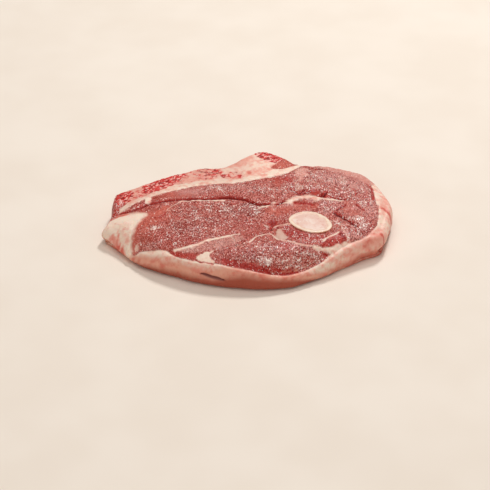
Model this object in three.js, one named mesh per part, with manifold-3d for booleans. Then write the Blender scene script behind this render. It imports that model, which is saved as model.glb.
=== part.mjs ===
// A raw lamb shoulder chop cut across the arm bone and the ends of four ribs.
// Millimetres, +Z up, lying on its flat underside at z = 0. X runs along the chop, from the
// fat lobe at its left end to the broad end, and Y from the fat edge at the front to the ribs.
import * as THREE from 'three';
import { mergeVertices } from 'three/addons/utils/BufferGeometryUtils.js';
import Module from 'manifold-3d';

const wasm = await Module();
wasm.setup();

// Thickness of the slice, and how its surface swells and droops
const THICKNESS = 17.6;
const CENTRE = new THREE.Vector2(0, -5);
const SWELLS = [
  { at: [-22, -16], reach: [34, 20], rise: 1.3 },
  { at: [14, -40], reach: [26, 13], rise: 1.5 },
  { at: [-22, 17], reach: [38, 8], rise: 1.1 },
  { at: [54, 18], reach: [22, 20], rise: 0.9 },
  { at: [37, -17], reach: [24, 15], rise: 0.8 },
  { at: [-76, -20], reach: [14, 16], rise: -1.6 },
];
const DROOPS = [
  { towards: -60, spread: 30, drop: 17, reach: 16 },
  { towards: -125, spread: 40, drop: 4.8, reach: 16 },
  { towards: 5, spread: 48, drop: 4.2, reach: 17 },
  { towards: 188, spread: 22, drop: 6.4, reach: 24 },
  { towards: 203, spread: 13, drop: 8, reach: 17 },
];
const EDGE_DROP = 0.6;
const EDGE_DROP_REACH = 12;

// Side of the slice, full and rounded, but thinning like a wedge at the fat lobe
const WIDEST_AT = 0.44;
const UPPER_EDGE = 4.2;
const LOWER_EDGE = 2.8;
const SIDE_POWER = 0.82;
const LOBE_POWER = 1.9;
const LOBE_TOWARDS = 197;
const LOBE_SPREAD = 20;
const SIDE_ANGLES = [24, 46, 68];

// Facets
const OUTLINE_STEPS = 132;
const RING_SHARES = [0.04, 0.09, 0.15, 0.24, 0.36, 0.51, 0.67, 0.83];
const BOTTOM_SHARE = 0.5;
const LINE_STEP = 3.2;

// Space left between two neighbouring pieces
const GAP = 0.3;
const BEYOND = 12;

// Edges shorter than this are closed up after a cut
const WELD = 0.01;

// Widest outline of the whole chop, clockwise from the tip of the fat lobe
const OUTLINE = [
  [-87.6, -12.6], [-84.8, -5], [-82.6, 3], [-82.4, 12], [-81.4, 18.6], [-73.4, 22.8], [-61.5, 30.3],
  [-50, 37.2], [-39.5, 42], [-30, 46.8], [-17, 47.6], [-9.5, 53], [-1, 61.4], [8, 67],
  [15, 65.6], [24, 59.6], [31, 52.2], [39, 50.8], [49, 51], [60, 47], [71.5, 42.4],
  [78.5, 33.5], [84, 20.6], [87.5, 8], [86, -4], [82.6, -17], [79.2, -26], [68, -32.4],
  [53.5, -42.2], [39.5, -51], [25, -58], [8.5, -60.6], [-9.5, -58.6], [-27.5, -54.8],
  [-45, -47.6], [-61, -40], [-72.5, -29.8], [-81, -20.5],
];

// Front edge of the fascia band, where the lean meets the rib side
const FASCIA = [
  [-98, -3], [-86, -2.4], [-77, -1.4], [-70, 2.2], [-62, 7.8], [-52, 13.4], [-40, 18.6],
  [-29, 23], [-16, 25.6], [-6, 27.4], [4, 30.2], [13, 33.4], [20, 36], [27, 40.4],
  [32, 46], [36, 60],
];

// Edge between the lean and the fat, from the broad end round the front to the lobe
const FAT_EDGE = [
  [88, 54], [75.5, 37], [76.4, 23], [76.8, 11], [78.2, 0], [77, -11], [74.4, -20.5],
  [68.5, -27.4], [60, -32], [53, -37.4], [45.5, -43.6], [36, -49.6], [24, -54.8],
  [11, -57.2], [-2, -56.4], [-15, -54.2], [-28, -51.4], [-36, -48.6], [-42, -45.4], [-46, -41.2],
  [-54, -38], [-61.5, -34.6], [-66, -33.8], [-68.4, -30.6], [-68.2, -24], [-66.4, -17.6],
  [-63, -12], [-60.4, -8], [-64, -6.4], [-72, -6], [-84, -6.8], [-98, -7],
];

// Arm bone: a tube of hard bone filled with a soft core
const ARM_BONE = [
  [23.9, -15], [25.4, -11], [29, -7.8], [34.6, -5.9], [40, -6.9], [45, -10.8], [48.4, -16.2],
  [49.4, -21], [47.4, -25.4], [42, -28], [36, -28], [30, -24.8], [26, -20.4],
];
const ARM_BONE_WALL = 2.3;
const ARM_BONE_TOP = 19.5;
const ARM_BONE_BEVEL = 0.6;
const ARM_BONE_STEPS = 44;
const CORE_SINK = 0.3;

// Cut ends of the ribs, each lying in the rib band and open to the back edge
const RIBS = [
  { name: 'rib_1', at: [-77.5, 16.6], half: [7, 5.4], turn: 32, round: 2.8 },
  { name: 'rib_2', at: [-51, 30], half: [14.4, 6.6], turn: 38, round: 3 },
  { name: 'rib_3', at: [-25, 41.2], half: [9.8, 8.6], turn: 4, round: 3 },
  { name: 'rib_4', at: [14, 60.8], half: [9, 7], turn: -26, round: 2.8 },
];
const RIB_STEPS = 32;

// Open clefts and seams between the muscles, cut into the upper surface
const GROOVES = [
  {
    width: 3.2, depth: 3,
    path: [
      [-72, -2.8], [-66, -3], [-58.5, 0.6], [-49.5, 5.6], [-38, 7], [-25, 7.6], [-12, 7.8],
      [-1, 5.6], [7, 1.6], [13, 1.8], [19.5, 2.8],
    ],
  },
  {
    width: 1.8, depth: 0.9,
    path: [[-42, -41.6], [-33.5, -40], [-24.5, -36.2], [-14, -32.4], [-4, -29.4]],
  },
  {
    width: 1.8, depth: 0.9,
    path: [
      [-6, -40.8], [1.5, -37], [7, -31.4], [14.5, -30.8], [20, -33.4], [25.5, -37.8], [34, -40.4],
      [42, -39.8], [48, -38.2],
    ],
  },
  { width: 1.6, depth: 0.8, path: [[53, -9.6], [57, -15.8], [65.5, -22.4]] },
  { width: 1.6, depth: 0.9, path: [[34, 12.6], [41, 13], [48, 11], [56, 6.6]] },
];
const GROOVE_ABOVE = 3;
const GROOVE_WALL = 0.45;
const GROOVE_END = 0.25;
const GROOVE_TAPER = 0.12;

// ---------------------------------------------------------------------------
// Curves in plan

const toVectors = (points) => points.map(([x, y]) => new THREE.Vector3(x, y, 0));

function smoothLine(points, closed, count) {
  const curve = new THREE.CatmullRomCurve3(toVectors(points), closed, 'centripetal');
  const steps = count ?? Math.round(curve.getLength() / LINE_STEP);
  const spaced = curve.getSpacedPoints(steps);
  if (closed) spaced.pop();
  return spaced.map((point) => new THREE.Vector2(point.x, point.y));
}

const area = (loop) => THREE.ShapeUtils.area(loop);
const counterClockwise = (loop) => (area(loop) < 0 ? loop.slice().reverse() : loop);

function outwardNormal(loop, index) {
  const before = loop[(index + loop.length - 1) % loop.length];
  const after = loop[(index + 1) % loop.length];
  return new THREE.Vector2(after.y - before.y, before.x - after.x).normalize();
}

function widened(loop, distance) {
  return loop.map((point, index) =>
    point.clone().addScaledVector(outwardNormal(loop, index), distance));
}

function roundedOval({ at, half, turn, round }, steps) {
  const angle = THREE.MathUtils.degToRad(turn);
  const power = 2 / round;
  const loop = [];
  for (let step = 0; step < steps; step += 1) {
    const t = (2 * Math.PI * step) / steps;
    const along = half[0] * Math.sign(Math.cos(t)) * Math.abs(Math.cos(t)) ** power;
    const across = half[1] * Math.sign(Math.sin(t)) * Math.abs(Math.sin(t)) ** power;
    const point = new THREE.Vector2(along, across).rotateAround(new THREE.Vector2(), angle);
    loop.push(point.add(new THREE.Vector2(...at)));
  }
  return loop;
}

const outline = counterClockwise(smoothLine(OUTLINE, true, OUTLINE_STEPS));
const fascia = smoothLine(FASCIA, false);
const fatEdge = smoothLine(FAT_EDGE, false);
const leanLoop = counterClockwise([...fascia, ...fatEdge]);
const bandLoop = counterClockwise([...fascia, new THREE.Vector2(-20, 90), new THREE.Vector2(-98, 60)]);

// ---------------------------------------------------------------------------
// Height of the upper surface

// How far the rim lies beyond a point, measured along the line from the centre.
function rimDistance(point) {
  const ray = point.clone().sub(CENTRE);
  for (let index = 0; index < outline.length; index += 1) {
    const a = outline[index].clone().sub(CENTRE);
    const b = outline[(index + 1) % outline.length].clone().sub(CENTRE);
    const fromA = a.cross(ray);
    const toB = ray.cross(b);
    if (fromA >= 0 && toB > 0) return (a.cross(b) / (fromA + toB) - 1) * ray.length();
  }
  return Infinity;
}

function bell(offset, reach) {
  return Math.exp(-((offset / reach) ** 2));
}

function nearEdge(distance, reach) {
  return Math.max(0, 1 - distance / reach) ** 2;
}

function angleBetween(degrees, other) {
  return THREE.MathUtils.euclideanModulo(degrees - other + 180, 360) - 180;
}

function headingOf(point) {
  return THREE.MathUtils.radToDeg(point.clone().sub(CENTRE).angle());
}

// Power that shapes the side: below 1 it is full, near 2 it slopes straight down.
function sidePower(point) {
  const towardsLobe = bell(angleBetween(headingOf(point), LOBE_TOWARDS), LOBE_SPREAD);
  return SIDE_POWER + (LOBE_POWER - SIDE_POWER) * towardsLobe;
}

function surfaceHeight(point) {
  const rim = rimDistance(point);
  const heading = headingOf(point);
  let height = THICKNESS - EDGE_DROP * nearEdge(rim, EDGE_DROP_REACH);
  for (const { at, reach, rise } of SWELLS) {
    height += rise * bell(point.x - at[0], reach[0]) * bell(point.y - at[1], reach[1]);
  }
  for (const { towards, spread, drop, reach } of DROOPS) {
    height -= drop * bell(angleBetween(heading, towards), spread) * nearEdge(rim, reach);
  }
  return height;
}

// ---------------------------------------------------------------------------
// Closed bodies

// Closes the first and last ring with a fan and joins the rings between them.
function loft(rings) {
  const count = rings[0].length;
  const positions = rings.flat().flatMap((point) => [point.x, point.y, point.z]);
  const indices = [];
  for (let ring = 0; ring + 1 < rings.length; ring += 1) {
    for (let step = 0; step < count; step += 1) {
      const next = (step + 1) % count;
      const lower = ring * count;
      const upper = lower + count;
      indices.push(lower + step, lower + next, upper + next);
      indices.push(lower + step, upper + next, upper + step);
    }
  }
  for (const [ring, start] of [[rings[0], 0], [rings.at(-1), (rings.length - 1) * count]]) {
    const middle = ring.reduce((sum, point) => sum.add(point), new THREE.Vector3());
    middle.divideScalar(count);
    const pole = positions.length / 3;
    positions.push(middle.x, middle.y, middle.z);
    for (let step = 0; step < count; step += 1) {
      const next = (step + 1) % count;
      const fan = start === 0 ? [pole, start + next, start + step] : [pole, start + step, start + next];
      indices.push(...fan);
    }
  }
  const geometry = new THREE.BufferGeometry();
  geometry.setAttribute('position', new THREE.Float32BufferAttribute(positions, 3));
  geometry.setIndex(indices);
  return geometry;
}

function toSolid(geometry) {
  const bare = new THREE.BufferGeometry();
  bare.setAttribute('position', geometry.getAttribute('position'));
  bare.setIndex(geometry.getIndex());
  const merged = mergeVertices(bare, 1e-4);
  return new wasm.Manifold(new wasm.Mesh({
    numProp: 3,
    tolerance: WELD,
    vertProperties: Float32Array.from(merged.getAttribute('position').array),
    triVerts: Uint32Array.from(merged.getIndex().array),
  }));
}

function toGeometry(solid) {
  const { vertProperties, triVerts } = solid.getMesh();
  const geometry = new THREE.BufferGeometry();
  geometry.setAttribute('position', new THREE.Float32BufferAttribute(vertProperties, 3));
  geometry.setIndex(Array.from(triVerts));
  return geometry;
}

const atHeight = (loop, height) => loop.map((point) => new THREE.Vector3(point.x, point.y, height));

// Upright cutting prism that passes the slice above and below.
function prism(loop) {
  return toSolid(loft([atHeight(loop, -BEYOND), atHeight(loop, THICKNESS + BEYOND)]));
}

// Upright cutting prism of a loop that is not round enough to be closed by a fan.
function longPrism(loop) {
  const shape = new THREE.Shape(loop);
  const depth = THICKNESS + 2 * BEYOND;
  const geometry = new THREE.ExtrudeGeometry(shape, { depth, steps: 1, bevelEnabled: false });
  geometry.translate(0, 0, -BEYOND);
  geometry.deleteAttribute('normal');
  geometry.deleteAttribute('uv');
  return toSolid(mergeVertices(geometry, 1e-4));
}

// The whole slice, from the middle of its underside round the rim to the middle of the top.
function wholeSlice() {
  const towardsCentre = (loop, share) => loop.map((point) => point.clone().lerp(CENTRE, share));
  const bottomEdge = widened(outline, -LOWER_EDGE);
  const topEdge = widened(outline, -UPPER_EDGE);
  const edgeHeights = topEdge.map(surfaceHeight);
  const sideRing = (degrees, edge, isUpper) => {
    const angle = THREE.MathUtils.degToRad(degrees);
    return outline.map((point, index) => {
      const power = sidePower(point);
      const inset = edge * (1 - Math.cos(angle) ** power);
      const lift = Math.sin(angle) ** power;
      const middle = WIDEST_AT * edgeHeights[index];
      const height = isUpper ? middle + (edgeHeights[index] - middle) * lift : middle * (1 - lift);
      const inward = point.clone().addScaledVector(outwardNormal(outline, index), -inset);
      return new THREE.Vector3(inward.x, inward.y, height);
    });
  };
  const onTop = (loop) => loop.map((point) =>
    new THREE.Vector3(point.x, point.y, surfaceHeight(point)));
  return toSolid(loft([
    atHeight(towardsCentre(bottomEdge, BOTTOM_SHARE), 0),
    atHeight(bottomEdge, 0),
    ...SIDE_ANGLES.slice().reverse().map((degrees) => sideRing(degrees, LOWER_EDGE, false)),
    sideRing(0, UPPER_EDGE, true),
    ...SIDE_ANGLES.map((degrees) => sideRing(degrees, UPPER_EDGE, true)),
    onTop(topEdge),
    ...RING_SHARES.map((share) => onTop(towardsCentre(topEdge, share))),
  ]));
}

// Cutter that follows the upper surface along a line, with upright walls over a V-shaped floor,
// and tapers out at both ends.
function grooveCutter({ path, width, depth }) {
  const line = smoothLine(path, false);
  const rings = line.map((point, index) => {
    const before = line[Math.max(0, index - 1)];
    const after = line[Math.min(line.length - 1, index + 1)];
    const across = new THREE.Vector2(before.y - after.y, after.x - before.x).normalize();
    const share = index / (line.length - 1);
    const fromEnd = Math.min(1, Math.min(share, 1 - share) / GROOVE_TAPER);
    const size = THREE.MathUtils.lerp(GROOVE_END, 1, fromEnd);
    const top = surfaceHeight(point);
    const left = point.clone().addScaledVector(across, (width * size) / 2);
    const right = point.clone().addScaledVector(across, (-width * size) / 2);
    const floor = top - depth * size;
    const wallFoot = top - depth * size * GROOVE_WALL;
    const above = top + GROOVE_ABOVE;
    return [
      new THREE.Vector3(point.x, point.y, floor),
      new THREE.Vector3(left.x, left.y, wallFoot),
      new THREE.Vector3(left.x, left.y, above),
      new THREE.Vector3(right.x, right.y, above),
      new THREE.Vector3(right.x, right.y, wallFoot),
    ];
  });
  return toSolid(loft(rings));
}

// ---------------------------------------------------------------------------
// Pieces

const material = (color, roughness) =>
  new THREE.MeshStandardMaterial({ color, roughness, metalness: 0 });

const LEAN = material(0xa9575a, 0.42);
const FAT = material(0xe0b49c, 0.5);
const FASCIA_WHITE = material(0xe3b9a6, 0.48);
const HARD_BONE = material(0xe8d2b8, 0.45);
const BONE_CORE = material(0xf0d6c6, 0.55);
const RIB_BONE = material(0xb0585a, 0.6);

const chop = new THREE.Group();

function addPiece(name, solid, pieceMaterial) {
  const mesh = new THREE.Mesh(toGeometry(solid), pieceMaterial);
  mesh.name = name;
  chop.add(mesh);
}

const middle = new THREE.Box2().setFromPoints(outline).getCenter(new THREE.Vector2());
chop.position.set(-middle.x, -middle.y, 0);

const half = GAP / 2;
const slice = GROOVES.map(grooveCutter).reduce((rest, cutter) => rest.subtract(cutter), wholeSlice());

const boneLoop = counterClockwise(smoothLine(ARM_BONE, true, ARM_BONE_STEPS));
const lean = slice.intersect(longPrism(widened(leanLoop, -half)));
addPiece('lean', lean.subtract(prism(widened(boneLoop, GAP))), LEAN);

const outerFat = slice.subtract(longPrism(widened(leanLoop, half)));
addPiece('fat_rim', outerFat.subtract(longPrism(widened(bandLoop, half))), FAT);

const ribLoops = RIBS.map((rib) => roundedOval(rib, RIB_STEPS));
const band = slice.intersect(longPrism(widened(bandLoop, -half)));
const bandRest = ribLoops.reduce((rest, loop) => rest.subtract(prism(widened(loop, half))), band);
addPiece('rib_band', bandRest, FASCIA_WHITE);
ribLoops.forEach((loop, index) => {
  addPiece(RIBS[index].name, band.intersect(prism(widened(loop, -half))), RIB_BONE);
});

const boneTube = toSolid(loft([
  atHeight(boneLoop, 0),
  atHeight(boneLoop, ARM_BONE_TOP - ARM_BONE_BEVEL),
  atHeight(widened(boneLoop, -ARM_BONE_BEVEL), ARM_BONE_TOP),
]));
const marrowLoop = widened(boneLoop, -ARM_BONE_WALL);
addPiece('arm_bone', boneTube.subtract(prism(marrowLoop)), HARD_BONE);

const coreLoop = widened(marrowLoop, -GAP);
const core = toSolid(loft([
  atHeight(coreLoop, 0),
  atHeight(coreLoop, ARM_BONE_TOP - CORE_SINK - ARM_BONE_BEVEL),
  atHeight(widened(coreLoop, -ARM_BONE_BEVEL), ARM_BONE_TOP - CORE_SINK),
]));
addPiece('arm_bone_core', core, BONE_CORE);

export default chop;
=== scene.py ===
"""Looks of a raw lamb shoulder chop: one relief surface, cut into muscle, fat, fascia and bone."""
import math

import bpy
import numpy as np
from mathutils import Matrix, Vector
from mathutils.kdtree import KDTree


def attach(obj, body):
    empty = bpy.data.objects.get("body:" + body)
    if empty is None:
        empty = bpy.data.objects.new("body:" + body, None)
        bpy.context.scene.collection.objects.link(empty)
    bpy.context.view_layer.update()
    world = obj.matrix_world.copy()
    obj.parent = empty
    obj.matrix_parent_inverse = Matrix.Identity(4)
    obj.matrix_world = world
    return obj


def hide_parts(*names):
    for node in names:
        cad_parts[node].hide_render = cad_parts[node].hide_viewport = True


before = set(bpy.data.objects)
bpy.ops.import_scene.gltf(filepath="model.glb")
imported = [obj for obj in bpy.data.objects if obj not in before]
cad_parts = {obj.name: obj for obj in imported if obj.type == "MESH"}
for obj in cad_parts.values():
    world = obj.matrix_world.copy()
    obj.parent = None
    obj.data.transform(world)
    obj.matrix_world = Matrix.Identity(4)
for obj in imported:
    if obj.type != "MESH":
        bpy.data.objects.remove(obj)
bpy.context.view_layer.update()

scene = bpy.context.scene

# --------------------------------------
# Named sizes, in mm, in the solids' own frame before its middle is moved to the origin

MM = 0.001
MIDDLE = np.array([-0.024, 3.184, 0.0])
THICKNESS = 17.6
CENTRE = np.array([0.0, -5.0])
SWELLS = [
    ((-22, -16), (34, 20), 1.3), ((14, -40), (26, 13), 1.5), ((-22, 17), (38, 8), 1.1),
    ((54, 18), (22, 20), 0.9), ((37, -17), (24, 15), 0.8), ((-76, -20), (14, 16), -1.6),
]
DROOPS = [(-60, 30, 17, 16), (-125, 40, 4.8, 16), (5, 48, 4.2, 17), (188, 22, 6.4, 24), (203, 13, 8, 17)]
EDGE_DROP, EDGE_DROP_REACH = 0.6, 12
WIDEST_AT, UPPER_EDGE, LOWER_EDGE = 0.44, 4.2, 2.8
SIDE_POWER, LOBE_POWER, LOBE_TOWARDS, LOBE_SPREAD = 0.82, 1.9, 197, 20
BONE_RISE, CORE_SINK, MOAT_DEPTH = 0.6, 0.2, 0.5
HOLE_DEPTH, SLIT_DEPTH, SLIT_SLOPE = 1.8, 1.4, 0.17
# How dense the painted highlights (glints) are on the meat, before the zones and fields
BASE_GLINT = 0.38
VOXEL = 0.52
CUTTER_BOTTOM, CUTTER_TOP = -8, 32
SHARP_ANGLE = 62

OUTLINE = [
    (-87.6, -12.6), (-84.8, -5), (-82.6, 3), (-82.4, 12), (-81.4, 18.6), (-73.4, 22.8), (-61.5, 30.3),
    (-50, 37.2), (-39.5, 42), (-30, 46.8), (-17, 47.6), (-9.5, 53), (-1, 61.4), (8, 67),
    (15, 65.6), (24, 59.6), (31, 52.2), (39, 50.8), (49, 51), (60, 47), (71.5, 42.4),
    (78.5, 33.5), (84, 20.6), (87.5, 8), (86, -4), (82.6, -17), (79.2, -26), (68, -32.4),
    (53.5, -42.2), (39.5, -51), (25, -58), (8.5, -60.6), (-9.5, -58.6), (-27.5, -54.8),
    (-45, -47.6), (-61, -40), (-72.5, -29.8), (-81, -20.5),
]
FASCIA = [
    (-98, -3), (-86, -2.4), (-77, -1.4), (-70, 2.2), (-62, 7.8), (-52, 13.4), (-40, 18.6),
    (-29, 23), (-16, 25.6), (-6, 27.4), (4, 30.2), (13, 33.4), (20, 36), (27, 40.4),
    (32, 46), (36, 60),
]
FAT_EDGE = [
    (88, 54), (75.5, 37), (76.4, 23), (76.8, 11), (78.2, 0), (77, -11), (74.4, -20.5),
    (68.5, -27.4), (60, -32), (53, -37.4), (45.5, -43.6), (36, -49.6), (24, -54.8),
    (11, -57.2), (-2, -56.4), (-15, -54.2), (-28, -51.4), (-36, -48.6), (-42, -45.4), (-46, -41.2),
    (-54, -38), (-61.5, -34.6), (-66, -33.8), (-68.4, -30.6), (-68.2, -24), (-66.4, -17.6),
    (-63, -12), (-60.4, -8), (-64, -6.4), (-72, -6), (-84, -6.8), (-98, -7),
]
BONE = [
    (23.9, -15), (25.4, -11), (29, -7.8), (34.6, -5.9), (40, -6.9), (45, -10.8), (48.4, -16.2),
    (49.4, -21), (47.4, -25.4), (42, -28), (36, -28), (30, -24.8), (26, -20.4),
]
BONE_WALL = 2.3
RIBS = [
    ((-77.5, 16.6), (7, 5.4), 32, 2.8), ((-51, 30), (14.4, 6.6), 38, 3),
    ((-25, 41.2), (9.8, 8.6), 4, 3), ((14, 60.8), (9, 7), -26, 2.8),
]
CLEFT = [
    (-79, -2.4), (-72, -3.4), (-65.5, -1.8), (-58.5, 2.3), (-52, 4.8), (-46, 6.3), (-38, 7.2),
    (-25.5, 7.8), (-12.5, 8.6), (-6, 7.8), (-1, 6.6), (3.5, 3.8), (7.5, 1.8), (13, 2.2), (19, 3.6),
]


def row(*shape, **shares):
    """One row of a table below: its shape, and the shares that it sets."""
    return *shape, shares


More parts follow.
